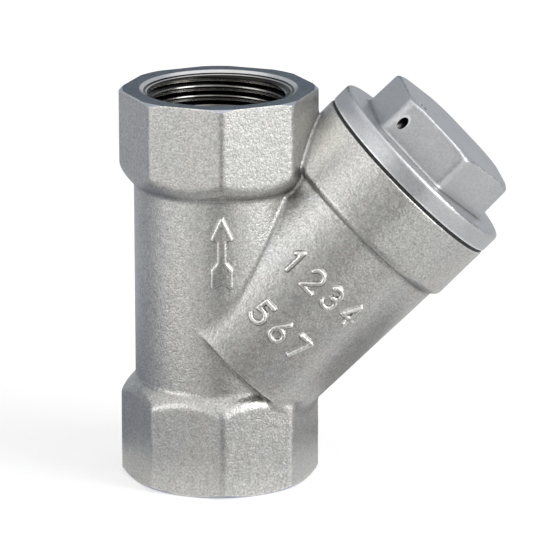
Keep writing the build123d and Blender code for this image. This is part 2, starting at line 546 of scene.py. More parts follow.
def thinned(mesh: bpy.types.Mesh, triangles: int) -> bpy.types.Mesh:
    """A mesh with fewer triangles, kept where the surface bends most.

    Args:
        mesh: the fine mesh.
        triangles: how many may stay.

    Returns:
        The coarser mesh.
    """
    mesh.calc_loop_triangles()
    holder = shown("thinned", mesh)
    modifier = holder.modifiers.new("thinned", "DECIMATE")
    modifier.ratio = min(1.0, triangles / len(mesh.loop_triangles))
    graph = bpy.context.evaluated_depsgraph_get()
    coarse = bpy.data.meshes.new_from_object(holder.evaluated_get(graph))
    bpy.data.objects.remove(holder)
    return coarse


def close_up(mesh: bpy.types.Mesh, gap: float = 0.0005 * MM) -> None:
    """Merges doubled points and turns every face of a closed mesh outwards."""
    work = bmesh.new()
    work.from_mesh(mesh)
    bmesh.ops.remove_doubles(work, verts=work.verts, dist=gap)
    bmesh.ops.dissolve_degenerate(work, edges=work.edges, dist=gap)
    bmesh.ops.recalc_face_normals(work, faces=work.faces)
    work.to_mesh(mesh)
    work.free()


def shown(name: str, mesh: bpy.types.Mesh) -> bpy.types.Object:
    """An object at the origin that shows a mesh."""
    mesh.name = name
    piece = bpy.data.objects.new(name, mesh)
    bpy.context.collection.objects.link(piece)
    return piece


class Joining(Enum):
    """What a second solid does to the first."""

    CUT = "DIFFERENCE"
    ADD = "UNION"


def machine(piece: bpy.types.Object, *tools: bpy.types.Object, how: Joining = Joining.CUT) -> None:
    """Cuts solids out of a piece or adds them to it; new faces keep their own finish.

    Args:
        piece: what is machined.
        tools: solids, which are removed afterwards.
        how: cut or add.
    """
    for tool in tools:
        step = piece.modifiers.new("step", "BOOLEAN")
        step.operation = how.value
        step.solver = "MANIFOLD"
        step.material_mode = "TRANSFER"
        step.object = tool
        graph = bpy.context.evaluated_depsgraph_get()
        mesh = bpy.data.meshes.new_from_object(piece.evaluated_get(graph))
        piece.modifiers.remove(step)
        if len(mesh.polygons) == len(piece.data.polygons):
            raise RuntimeError(f"{tool.name} left {piece.name} as it was")
        piece.data = mesh
        bpy.data.objects.remove(tool)


def sharpen(mesh: bpy.types.Mesh, limit: float, cast: int = 0, cast_limit: float = 60.0) -> None:
    """Marks the edges that stay crisp under smooth shading.

    Args:
        mesh: the mesh.
        limit: angle between faces from which a machined edge is crisp, in degrees.
        cast: index of the material that has no crisp edges of its own.
        cast_limit: the same angle for that material.
    """
    work = bmesh.new()
    work.from_mesh(mesh)
    for edge in work.edges:
        if len(edge.link_faces) != 2:
            continue
        kinds = {face.material_index for face in edge.link_faces}
        angle = math.degrees(edge.calc_face_angle(0.0))
        bound = cast_limit if kinds == {cast} else limit
        edge.smooth = len(kinds) == 1 and angle < bound
    for face in work.faces:
        face.smooth = True
    work.to_mesh(mesh)
    work.free()


def report(piece: bpy.types.Object, part: Part, slot: str, *nodes: str) -> None:
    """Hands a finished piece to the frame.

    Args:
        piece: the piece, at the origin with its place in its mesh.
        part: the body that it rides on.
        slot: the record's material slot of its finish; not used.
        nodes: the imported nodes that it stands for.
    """
    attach(piece, part.value)
    if nodes:
        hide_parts(*nodes)
    piece.data.calc_loop_triangles()
    log.info("%s: %d triangles on %s", piece.name, len(piece.data.loop_triangles), part.value)


def new_material(name: str) -> tuple[bpy.types.Material, Graph, bpy.types.Node]:
    """A new material, its tree and its Principled shader."""
    material = bpy.data.materials.new(name)
    material.use_nodes = True
    return material, Graph(material.node_tree), material.node_tree.nodes["Principled BSDF"]


@dataclass(frozen=True)
class Steel:
    """Bare steel, from bead-blasted to turned, which can have painted shade in its corners and painted
    highlights on its edges.
    """

    name: str
    colour: tuple[float, float, float]
    tint: tuple[float, float, float]  # of the patches that differ a little
    roughness: float
    roughness_spread: float = 0.06
    patch: float = 9.0 * MM
    patch_detail: float = 3.0
    patch_contrast: float = 2.4
    grain: float = 0.36 * MM
    grain_detail: float = 2.0
    grain_contrast: float = 0.10
    grain_height: float = 0.012 * MM
    speckle: float = 4.0  # how much stronger the grain's colour is than the pits'
    pit_size: float = 3.1  # in grains
    pit_height: float = 1.2  # over the grain's height
    pit_roughness: float = 2.0  # in roughness spreads
    ao_samples: int = 6
    painted_corner_shade: float = 0.0  # painted shade: how much darker a tight corner is
    corner_shade_reach: float = 1.0 * MM
    corner_shade_gain: float = 5.0
    painted_underside_shade: float = 0.0  # painted shade: how much darker a corner is that faces down
    underside_shade_reach: float = 4.0 * MM
    underside_shade_gain: float = 6.0
    down_start: float = 0.25  # downward part of the normal from which a face counts as facing down
    down_gain: float = 2.0
    edge: float = 0.0  # painted highlight: how much brighter an outer edge is
    highlight_reach: float = 0.45 * MM
    highlight_gain: float = 2.5
    edge_polish: float = 0.08  # how much smoother it is
    turning: float = 0.0  # spacing of tool marks, or nought for none
    turning_height: float = 0.0
    ripple: float = 0.2  # the even part of the tool marks
    wander_scale: float = 0.4  # the uneven part, in marks
    wander_detail: float = 3.0
    groove: tuple[float, float] | None = None  # radii of a thread's crest and root, for its painted shade and highlights
    painted_thread_levels: tuple[tuple[float, float], ...] = (
        (0.0, 0.4), (0.08, 0.4), (0.18, 0.03), (0.8, 0.03), (0.92, 0.9), (1.01, 0.9), (1.1, 0.03),
    )  # place from crest to root, and painted brightness

    def material(self, axis: Placement = INLET) -> bpy.types.Material:
        """Builds the node material.

        Args:
            axis: what tool marks and threads run round.

        Returns:
            The material.
        """
        material, tree, shader = new_material(self.name)
        shader.inputs["Metallic"].default_value = 1.0
        place = tree.node("ShaderNodeTexCoord").outputs["Object"]
        patches = tree.noise(place, self.patch, self.patch_detail) - NOISE_MIDDLE
        grain = tree.noise(place, self.grain, self.grain_detail)
        pits = tree.noise(place, self.pit_size * self.grain, self.grain_detail)
        base = tree.node(
            "ShaderNodeMix",
            {"data_type": "RGBA"},
            {
                "Factor": (patches * self.patch_contrast + 0.5).clamped(),
                6: (*self.colour, 1.0),
                7: (*self.tint, 1.0),
            },
        )
        speckles = (grain - NOISE_MIDDLE) * (self.speckle * self.grain_contrast)
        light = 1.0 + speckles + (pits - NOISE_MIDDLE) * self.grain_contrast
        rough = self.roughness + (pits - NOISE_MIDDLE) * (self.pit_roughness * self.roughness_spread)
        height = grain * self.grain_height + pits * (self.pit_height * self.grain_height)
        # Painted shade in tight corners, from ambient occlusion.
        if self.painted_corner_shade:
            corner = self.closeness(tree, self.corner_shade_reach, False, self.corner_shade_gain)
            light = light * (1.0 - corner * self.painted_corner_shade)
        # Painted shade in corners that face down, as under the hubs.
        if self.painted_underside_shade:
            corner = self.closeness(tree, self.underside_shade_reach, False, self.underside_shade_gain)
            light = light * (1.0 - corner * self.facing_down(tree) * self.painted_underside_shade)
        # Painted highlight on outer edges, which are also a little smoother.
        if self.edge:
            highlight_and_polish = self.closeness(tree, self.highlight_reach, True, self.highlight_gain)
            light = light * (1.0 + highlight_and_polish * self.edge)
            rough = rough - highlight_and_polish * self.edge_polish
        if self.turning or self.groove:
            away, along = self.cylinder_coordinates(tree, place, axis)
            if self.turning:
                marks = self.tool_marks(tree, away + along)
                height = height + marks * self.turning_height
                rough = rough + (marks - NOISE_MIDDLE) * self.roughness_spread
            # Painted shade and highlights by depth in the thread.
            if self.groove:
                light = light * self.painted_thread_shade(tree, away)
        shade = tree.node(
            "ShaderNodeVectorMath",
            {"operation": "SCALE"},
            {0: base.outputs[2], "Scale": light.at_least(0.0)},
        )
        bump = tree.node("ShaderNodeBump", inputs={"Distance": 1.0, "Height": height})
        tree.feed(shader.inputs["Base Color"], shade.outputs[0])
        tree.feed(shader.inputs["Roughness"], rough)
        tree.feed(shader.inputs["Normal"], bump.outputs[0])
        return material

    def facing_down(self, tree: Graph) -> Value:
        """1 where the surface faces down, fading to 0 towards upright faces."""
        normal = tree.node("ShaderNodeTexCoord").outputs["Normal"]
        up = tree.value(tree.node("ShaderNodeSeparateXYZ", inputs={0: normal}), 2)
        return ((-up - self.down_start) * self.down_gain).clamped()

    def painted_thread_shade(self, tree: Graph, away: Value) -> Value:
        """Painted shade and highlights of a thread: grey crests, black flanks and pale roots.

        Args:
            tree: the tree.
            away: distance from the thread's axis.

        Returns:
            A factor for the colour.
        """
        crest, root = self.groove
        last = self.painted_thread_levels[-1][0]
        stops = [(place / last, (level, level, level)) for place, level in self.painted_thread_levels]
        share = (away - crest) / (last * (root - crest))
        return tree.value(tree.node("ShaderNodeValToRGB", {"stops": stops}, {0: share}))

    def closeness(self, tree: Graph, reach: float, inside: bool, gain: float) -> Value:
        """How much of the piece's own surface is near, from 0 to 1: the mask of the painted shade and
        highlights.

        Args:
            tree: the tree.
            reach: how near.
            inside: True to look under the surface for outer edges, False to look over it for corners.
            gain: steepness.

        Returns:
            The mask.
        """
        node = tree.node(
            "ShaderNodeAmbientOcclusion",
            {"samples": self.ao_samples, "inside": inside, "only_local": True},
            {"Distance": reach},
        )
        return ((1.0 - tree.value(node, "AO")) * gain).at_most(1.0)

    def cylinder_coordinates(
        self, tree: Graph, place: bpy.types.NodeSocket, axis: Placement
    ) -> tuple[Value, Value]:
        """Distance from an axis, and place along it.

        Args:
            tree: the tree.
            place: the point.
            axis: its frame.

        Returns:
            The two values.
        """
        local = []
        for direction in (axis.across, axis.side, axis.along):
            product = tree.node(
                "ShaderNodeVectorMath", {"operation": "DOT_PRODUCT"}, {0: place, 1: direction}
            )
            local.append(tree.value(product, "Value") - float(np.dot(axis.origin, direction)))
        return (local[0] * local[0] + local[1] * local[1]).root(), local[2]

    def tool_marks(self, tree: Graph, away: Value) -> Value:
        """Fine grooves round an axis, from 0 to 1."""
        even = tree.maths("SINE", away * (2 * math.pi / self.turning))
        uneven = tree.node(
            "ShaderNodeTexNoise",
            {"noise_dimensions": "1D"},
            {"W": away, "Scale": self.wander_scale / self.turning, "Detail": self.wander_detail},
        )
        return even * self.ripple + tree.value(uneven, "Fac")


@dataclass(frozen=True)
class SheetGasket:
    """Black fibre-reinforced sheet."""

    name: str = "gasket_sheet"
    colour: tuple[float, float, float] = (0.012, 0.012, 0.014)
    fibre: tuple[float, float, float] = (0.05, 0.05, 0.052)
    fibre_size: float = 0.5 * MM
    fibre_detail: float = 4.0
    fibre_share: tuple[float, float] = (0.42, 0.66)  # of the noise, where a fibre starts and is full
    fibre_height: float = 0.03 * MM
    roughness: float = 0.72
    roughness_spread: float = 0.3

    def material(self) -> bpy.types.Material:
        """Builds the node material."""
        material, tree, shader = new_material(self.name)
        place = tree.node("ShaderNodeTexCoord").outputs["Object"]
        fibres = tree.noise(place, self.fibre_size, self.fibre_detail)
        stops = list(zip(self.fibre_share, (self.colour, self.fibre)))
        ramp = tree.node("ShaderNodeValToRGB", {"stops": stops}, {0: fibres})
        rough = self.roughness + (fibres - NOISE_MIDDLE) * self.roughness_spread
        bump = tree.node("ShaderNodeBump", inputs={"Distance": self.fibre_height, "Height": fibres})
        tree.feed(shader.inputs["Base Color"], ramp.outputs[0])
        tree.feed(shader.inputs["Roughness"], rough)
        tree.feed(shader.inputs["Normal"], bump.outputs[0])
        return material


@dataclass
class Branch:
    """Stations along the branch axis that several pieces share."""

    meet_height: float = 21.5 * MM
    collar_face: float = 48.5 * MM
    collar_radius: float = 19.35 * MM
    collar_edge: float = 0.3 * MM
    flange_underside: float = 49.1 * MM
    cap_thread: Thread = field(default_factory=lambda: Thread(16.0 * MM, 15.1 * MM, 1.5 * MM))
    screen_seat: float = 6.4 * MM
    screen_top: float = 50.7 * MM
    screen_radius: float = 11.1 * MM
    seat_clearance: float = 0.15 * MM

    def placement(self) -> Placement:
        """The branch's frame."""
        return branch_placement(self.meet_height)


@dataclass
class CastBody:
    """The angle-pattern casting with its machined ports, seat and collar."""

    branch: Branch
    voxel: float = 0.30 * MM
    triangles: int = 130000
    run_radius: float = 15.5 * MM
    passage_radius: float = 12.0 * MM
    hub_sides: int = 8
    hub_apothem: float = 16.9 * MM
    hub_round: float = 2.0 * MM
    inlet_edge: float = 0.6 * MM
    outlet_edge: float = 1.0 * MM
    inlet_hub: float = 16.2 * MM
    outlet_hub: float = 14.8 * MM
    shoulder_angle: float = 45.0
    shoulder_fillet: float = 0.35 * MM
    inlet_chamfer: tuple[float, float] = (1.45 * MM, 35.0)  # across, and its angle
    outlet_chamfer: tuple[float, float] = (0.70 * MM, 30.0)
    foot_reach: float = 3.5 * MM
    foot_radius: float = 17.6 * MM
    foot_round: float = 0.4 * MM
    top_radius: float = 18.3 * MM
    junction_fillet: float = 0.5 * MM
    valley_fillet: float = 1.0 * MM  # of the junction at its top and at its foot
    valley_start: float = 44.0 * MM
    valley_growth: float = 0.04
    heel_start: float = 31.0 * MM
    heel_growth: float = 0.05
    collar_length: float = 11.1 * MM
    collar_angle: float = 62.0
    collar_fillet: float = 0.25 * MM
    collar_round: float = 0.7 * MM
    wave_size: float = 7.0 * MM
    wave_height: float = 0.10 * MM
    wave_seed: float = 3.0
    crisp_angle: float = 28.0  # from which a machined edge stays sharp
    port_thread: Thread = field(
        default_factory=lambda: Thread(
            read_mount("outlet_port")["dims"]["r_mm"] * MM, 12.06 * MM, 1.814 * MM, 0.06, 0.16
        )
    )
    port_length: float = 14.5 * MM
    thread_runout: float = 1.5  # in turns
    countersink: float = 1.15 * MM
    countersink_depth: float = 0.40 * MM
    countersink_angle: float = 60.0  # from the axis
    tap_lead: float = 2.0  # how fast the tap narrows below the countersink
    allowance: float = 1.0 * MM  # of metal on each face that is machined off
    collar_edge_angles: tuple[int, ...] = (90, 67, 45, 22, 0)  # round its broken edge
    collar_tool_reach: float = 1.8 * MM  # over the collar's face
    partition_reach: float = 4.2 * MM
    partition_end: float = 8.2 * MM
    seat_bore: float = 9.8 * MM
    chamber_radius: float = 14.4 * MM
    cap_thread_length: float = 11.0 * MM
    thread_relief: float = 1.2 * MM
    collar_countersink: float = 0.5 * MM

    def hub(self, tree: DistanceTree, height: Value, length: float, edge: float) -> Value:
        """Distance to an octagonal hub.

        Args:
            tree: the tree.
            height: coordinate from the hub's end face into the body.
            length: of the hub along a corner.
            edge: radius of the edge between flats and shoulder.

        Returns:
            The distance.
        """
        turn = math.pi / self.hub_sides
        flats = tree.prism(tree.x, tree.y, self.hub_sides, self.hub_apothem, self.hub_round, turn)
        slope = math.radians(self.shoulder_angle)
        out = tree.reach(tree.x, tree.y)
        shoulder = (out - self.corner_reach()) * math.cos(slope) + (height - length) * math.sin(slope)
        return flats.trimmed(shoulder, edge).at_least(-height - self.allowance)

    def corner_reach(self) -> float:
        """From the run's axis to a rounded corner of a hub."""
        return rounded_corner(self.hub_apothem, self.hub_round, self.hub_sides)

    def taper(self) -> float:
        """How fast the limb widens towards its collar."""
        slope = math.radians(self.collar_angle)
        neck = self.branch.collar_face - self.collar_length
        neck -= (self.branch.collar_radius - self.top_radius) / math.tan(slope)
        return (self.top_radius - self.foot_radius) / (neck - self.foot_reach)

    def limb_radius(self, along: Value | float) -> Value | float:
        """Radius of the tapered limb at a place along the branch axis."""
        return (along - self.foot_reach) * self.taper() + self.foot_radius

    def limb_coordinates(self, tree: DistanceTree) -> tuple[Value, Value]:
        """Distance from the branch axis, and place along it."""
        place = self.branch.placement()
        lean = tree.z - place.origin[2]
        across = tree.x * place.across[0] + lean * place.across[2]
        along = tree.x * place.along[0] + lean * place.along[2]
        return tree.reach(across, tree.y), along

    def limb(self, tree: DistanceTree) -> Value:
        """Distance to the tapered branch with its collar."""
        out, along = self.limb_coordinates(tree)
        face = self.branch.collar_face
        slope = math.radians(self.collar_angle)
        tapered = (out - self.limb_radius(along)).trimmed(self.foot_reach - along, self.foot_round)
        side = out - self.branch.collar_radius
        shoulder = side * math.cos(slope) - (along - (face - self.collar_length)) * math.sin(slope)
        collar = side.trimmed(shoulder, self.collar_round)
        return tapered.joined(collar, self.collar_fillet).at_least(along - face - self.allowance)

    def valley(self, tree: DistanceTree) -> Value:
        """Radius of the blend between run and limb, which opens out towards its top and its foot."""
        upper = ((tree.z - self.valley_start) * self.valley_growth).at_least(0.0)
        lower = ((self.heel_start - tree.z) * self.heel_growth).at_least(0.0)
        return (upper + lower + self.junction_fillet).at_most(self.valley_fillet)

    def unevenness(self, tree: DistanceTree) -> Value:
        """Slow waves of the cast surface."""
        return tree.waves(self.wave_size, self.wave_height, self.wave_seed)

    def cast_skin(self, material: bpy.types.Material) -> bpy.types.Mesh:
        """The casting before it is machined."""
        tree = DistanceTree("cast_skin", {"Run radius": self.run_radius, "Length": RUN_LENGTH})
        out = tree.reach(tree.x, tree.y)
        length = tree.size("Length")
        ends = (-tree.z).at_least(tree.z - length) - self.allowance
        run = (out - tree.size("Run radius")).at_least(ends)
        run = run.joined(self.hub(tree, tree.z, self.inlet_hub, self.inlet_edge), self.shoulder_fillet)
        outlet = self.hub(tree, length - tree.z, self.outlet_hub, self.outlet_edge)
        run = run.joined(outlet, self.shoulder_fillet)
        whole = run.joined(self.limb(tree), self.valley(tree))
        whole = whole - self.unevenness(tree)
        margin = 2 * self.allowance
        low = tuple(value - margin for value in cad_low)
        high = tuple(value + margin for value in (cad_high[0], cad_high[1], RUN_LENGTH))
        return thinned(tree.solid(whole, low, high, self.voxel, material), self.triangles)

    def end_tool(
        self, place: Placement, chamfer: tuple[float, float], material: bpy.types.Material
    ) -> bpy.types.Object:
        """Faces off a hub and turns the chamfer on its corners."""
        depth, angle = chamfer
        face = self.corner_reach() - depth
        beyond = self.corner_reach() + depth
        rise = (beyond - face) * math.tan(math.radians(angle))
        low = -2 * self.allowance
        return turned("end_tool", [0.0, rise, low], [face, beyond, beyond], place, material)

    def port_tap(self, place: Placement, material: bpy.types.Material) -> bpy.types.Object:
        """Tapped thread of a port, which starts on a steep lead below the countersink."""
        thread = self.port_thread
        fade = self.thread_runout * thread.pitch
        heights, radii = thread.surface(-self.allowance, self.port_length, fade)
        lead = self.mouth_radius() + self.tap_lead * (self.countersink_depth - heights)
        radii = np.maximum(radii, np.minimum(lead, self.mouth_radius()))
        return turned("port_tap", heights, radii, place, material, winding=thread.rows)

    def mouth_radius(self) -> float:
        """Radius at the bottom of the countersink."""
        slope = math.tan(math.radians(self.countersink_angle))
        return self.port_thread.major + self.countersink - self.countersink_depth * slope

    def countersink_tool(self, place: Placement, material: bpy.types.Material) -> bpy.types.Object:
        """Countersink at the mouth of a port."""
        slope = math.tan(math.radians(self.countersink_angle))
        heights = [-self.allowance, self.countersink_depth]
        bottom = self.mouth_radius()
        radii = [bottom + (self.countersink_depth + self.allowance) * slope, bottom]
        return turned("countersink_tool", heights, radii, place, material)

    def passage_tool(self, reach: float, up: bool, material: bpy.types.Material) -> bpy.types.Object:
        """The run's passage on one side of the slanted partition.

        Args:
            reach: of the partition's face along the branch.
            up: True for the outlet's side.
            material: its finish.

        Returns:
            The tool.
        """
        place = self.branch.placement()
        radius = self.passage_radius
        slanted = (reach - radius * np.cos(around()) * place.along[0]) / place.along[2] + place.origin[2]
        inside = self.port_length - 0.5 * self.allowance
        level = RUN_LENGTH - inside if up else inside
        flat = np.full(TURNED_SEGMENTS, level)
        heights = np.stack([slanted, flat] if up else [flat, slanted])
        return turned("passage_tool", heights, [radius, radius], INLET, material)

    def branch_tool(self, material: bpy.types.Material) -> bpy.types.Object:
        """Seat bore, screen seat and chamber."""
        branch = self.branch
        recess = branch.screen_radius + branch.seat_clearance
        start = branch.collar_face - self.cap_thread_length
        step = branch.cap_thread.major - self.chamber_radius
        outline = [
            (0.0, self.seat_bore),
            (branch.screen_seat, self.seat_bore),
            (branch.screen_seat, recess),
            (self.partition_end, recess),
            (self.partition_end, self.chamber_radius),
            (start - step, self.chamber_radius),
            (start, branch.cap_thread.major),
            (start + self.thread_relief, branch.cap_thread.major),
        ]
        heights, radii = zip(*outline)
        return turned("branch_tool", heights, radii, branch.placement(), material)

    def collar_tap(self, material: bpy.types.Material) -> bpy.types.Object:
        """The cap's thread and its countersink."""
        branch = self.branch
        thread = branch.cap_thread
        start = branch.collar_face - self.cap_thread_length + 0.5 * self.thread_relief
        heights, radii = thread.surface(start, branch.collar_face + 2 * self.allowance)
        mouth = thread.major + self.collar_countersink + heights - branch.collar_face
        radii = np.maximum(radii, mouth)
        return turned("collar_tap", heights, radii, branch.placement(), material, winding=thread.rows)

    def collar_tool(self, material: bpy.types.Material) -> bpy.types.Object:
        """Faces off the collar and breaks its edge."""
        branch = self.branch
        bend = np.radians(self.collar_edge_angles)
        edge_radii = branch.collar_radius - branch.collar_edge * (1 - np.cos(bend))
        edge_heights = branch.collar_face - branch.collar_edge * (1 - np.sin(bend))
        outer = branch.collar_radius + 0.5 * self.allowance
        top = branch.collar_face + self.collar_tool_reach
        heights = [*edge_heights, edge_heights[-1], top]
        return turned("collar_tool", heights, [*edge_radii, outer, outer], branch.placement(), material)

    def build(
        self, skin: bpy.types.Material, faced: bpy.types.Material, tapped: bpy.types.Material,
        sunk: bpy.types.Material, bored: bpy.types.Material,
    ) -> None:
        """Casts and machines the body.

        Args:
            skin: finish of the cast outside.
            faced: finish of the turned end faces.
            tapped: finish of the pipe threads.
            sunk: finish of the countersinks.
            bored: finish of the passages and of the branch inside.
        """
        piece = shown("cast_body", self.cast_skin(skin))
        machine(
            piece,
            self.end_tool(INLET, self.inlet_chamfer, faced),
            self.end_tool(OUTLET, self.outlet_chamfer, faced),
            self.collar_tool(skin),
            self.passage_tool(self.partition_reach, False, bored),
            self.passage_tool(self.partition_end, True, bored),
            self.branch_tool(bored),
            self.collar_tap(bored),
            self.port_tap(INLET, tapped),
            self.port_tap(OUTLET, tapped),
            self.countersink_tool(INLET, sunk),
            self.countersink_tool(OUTLET, sunk),
        )
        sharpen(piece.data, self.crisp_angle)
        report(piece, Part.HOUSING, "body_casting", "body")


@dataclass
class ScrewCap:
    """Cap with a hexagonal head, a flange and a threaded spigot that holds the screen."""

    branch: Branch
    voxel: float = 0.36 * MM
    flange_top: float = 52.7 * MM
    flange_round: float = 0.7 * MM
    head_sides: int = 6
    head_apothem: float = 13.05 * MM
    head_round: float = 2.0 * MM
    head_height: float = 7.75 * MM
    head_draft: float = 1.2
    head_turn: float = -112.0  # angle of a flat's normal
    head_edge: float = 0.35 * MM
    head_foot: float = 0.6 * MM
    chamfer_depth: float = 0.9 * MM
    chamfer_angle: float = 30.0
    thread_clearance: float = 0.05 * MM
    spigot_length: float = 9.6 * MM
    spigot_chamfer: float = 0.8 * MM
    relief_width: float = 1.2 * MM
    relief_depth: float = 1.1 * MM
    bore_radius: float = 13.1 * MM
    socket_depth: float = 5.2 * MM
    socket_floor: float = 51.0 * MM
    core_radius: float = 8.2 * MM
    core_height: float = 4.2 * MM
    wire_hole_radius: float = 0.8 * MM
    wire_hole_height: float = 3.3 * MM
    wire_hole_offset: float = 5.4 * MM
    wire_hole_tilt: float = 50.0
    overrun: float = 1.0 * MM
    crisp_angle: float = 28.0  # from which a machined edge stays sharp
    crisp_cast_angle: float = 75.0  # the same for a cast one

    def cast_skin(self, material: bpy.types.Material) -> bpy.types.Mesh:
        """Flange and head as they leave the mould, at their place on the branch."""
        underside = self.branch.flange_underside
        sizes = {"Flange radius": self.branch.collar_radius, "Flange top": self.flange_top}
        tree = DistanceTree("cap_skin", sizes)
        out = tree.reach(tree.x, tree.y)
        top = tree.size("Flange top")
        flange = (out - tree.size("Flange radius")).trimmed(tree.z - top, self.flange_round)
        flange = flange.at_least(underside - self.overrun - tree.z)
        draft = math.tan(math.radians(self.head_draft))
        apothem = self.head_apothem - (tree.z - top) * draft
        turn = math.radians(self.head_turn)
        flats = tree.prism(tree.x, tree.y, self.head_sides, apothem, self.head_round, turn)
        corner = rounded_corner(self.head_apothem, self.head_round, self.head_sides)
        face = corner - self.chamfer_depth - self.head_height * draft
        slope = math.radians(self.chamfer_angle)
        end = tree.z - top - self.head_height
        bevel = end * math.cos(slope) + (out - face) * math.sin(slope)
        head = flats.trimmed(bevel, self.head_edge).trimmed(end, self.head_edge)
        head = head.at_least(underside - tree.z)
        whole = flange.joined(head, self.head_foot)
        reach = self.branch.collar_radius + self.overrun
        low = (-reach, -reach, underside - 2 * self.overrun)
        high = (reach, reach, self.flange_top + self.head_height + self.overrun)
        mesh = tree.solid(whole, low, high, self.voxel, material)
        mesh.transform(self.branch.placement().matrix())
        return mesh

    def underside_tool(self, material: bpy.types.Material) -> bpy.types.Object:
        """Faces off the flange's underside."""
        low = self.branch.flange_underside - 2 * self.overrun
        reach = self.branch.collar_radius + self.overrun
        heights = [low, self.branch.flange_underside]
        return turned("underside_tool", heights, [reach, reach], self.branch.placement(), material)

    def spigot(self, material: bpy.types.Material) -> list[bpy.types.Object]:
        """Threaded end and the relief groove behind it."""
        branch = self.branch
        tip = branch.flange_underside - self.spigot_length
        shoulder = branch.flange_underside - self.relief_width
        cut = branch.cap_thread
        clearance = self.thread_clearance
        thread = replace(cut, major=cut.major - clearance, minor=cut.minor - clearance)
        heights, radii = thread.surface(tip, shoulder)
        lead = thread.major - self.spigot_chamfer + heights - tip
        threaded = turned(
            "spigot", heights, np.minimum(radii, lead), branch.placement(), material, winding=thread.rows
        )
        neck_radius = thread.major - self.relief_depth
        neck_heights = [shoulder - self.overrun, branch.flange_underside + self.overrun]
        neck = turned("neck", neck_heights, [neck_radius, neck_radius], branch.placement(), material)
        return [neck, threaded]

    def bore_tool(self, material: bpy.types.Material) -> bpy.types.Object:
        """Bore of the spigot, with the socket for the screen and the cored head."""
        branch = self.branch
        socket = branch.screen_radius + branch.seat_clearance
        mouth = self.socket_floor - self.socket_depth
        outline = [
            (branch.flange_underside - self.spigot_length - self.overrun, self.bore_radius),
            (mouth - (self.bore_radius - socket), self.bore_radius),
            (mouth, socket),
            (self.socket_floor, socket),
            (self.socket_floor, self.core_radius),
            (self.socket_floor + self.core_height, self.core_radius),
        ]
        heights, radii = zip(*outline)
        return turned("cap_bore", heights, radii, branch.placement(), material)

    def wire_hole(self, material: bpy.types.Material) -> bpy.types.Object:
        """Slanted drilling for a sealing wire, from a flat out of the end face."""
        place = self.branch.placement()
        turn = Matrix.Rotation(math.radians(self.head_turn), 4, "Z")
        shift = Matrix.Translation(
            (self.head_apothem, -self.wire_hole_offset, self.flange_top + self.wire_hole_height)
        )
        tilt = Matrix.Rotation(math.radians(self.wire_hole_tilt - 90), 4, "Y")
        whole = place.matrix() @ turn @ shift @ tilt
        across, side, along = (tuple(whole.col[k].to_3d()) for k in range(3))
        drill = Placement(tuple(whole.translation), across, side, along)
        low = -2 * self.wire_hole_radius
        radius = self.wire_hole_radius
        return turned("wire_hole", [low, 2 * self.head_height], [radius, radius], drill, material)

    def build(
        self, skin: bpy.types.Material, turned_finish: bpy.types.Material, shaded_hole: bpy.types.Material
    ) -> None:
        """Casts and machines the cap.

        Args:
            skin: finish of flange and head.
            turned_finish: finish of the spigot and the flange's underside.
            shaded_hole: the hole for the sealing wire, in steel painted dark as shade.
        """
        piece = shown("screw_cap", self.cast_skin(skin))
        machine(piece, self.underside_tool(turned_finish))
        machine(piece, *self.spigot(turned_finish), how=Joining.ADD)
        machine(piece, self.bore_tool(turned_finish), self.wire_hole(shaded_hole))
        sharpen(piece.data, self.crisp_angle, cast_limit=self.crisp_cast_angle)
        report(piece, Part.COVER, "cap_casting", "cap")


@dataclass
class Gasket:
    """Flat ring between the collar and the cap."""

    branch: Branch
    bore_clearance: float = 0.25 * MM
    rim_inset: float = 0.15 * MM
    edge: float = 0.08 * MM
    crisp_angle: float = 30.0

    def build(self, sheet: bpy.types.Material) -> None:
        """Makes the ring.

        Args:
            sheet: its finish.
        """
        branch = self.branch
        inner = branch.cap_thread.major + self.bore_clearance
        outer = branch.collar_radius - self.rim_inset
        low, high = branch.collar_face, branch.flange_underside
        edge = self.edge
        outline = [
            (low, inner), (low, outer - edge), (low + edge, outer),
            (high - edge, outer), (high, outer - edge), (high, inner),
        ]
        heights, radii = zip(*outline)
        piece = turned("cap_gasket", heights, radii, branch.placement(), sheet, ring=True)
        sharpen(piece.data, self.crisp_angle, cast_limit=self.crisp_angle)
        report(piece, Part.SEAL, "gasket", "gasket")


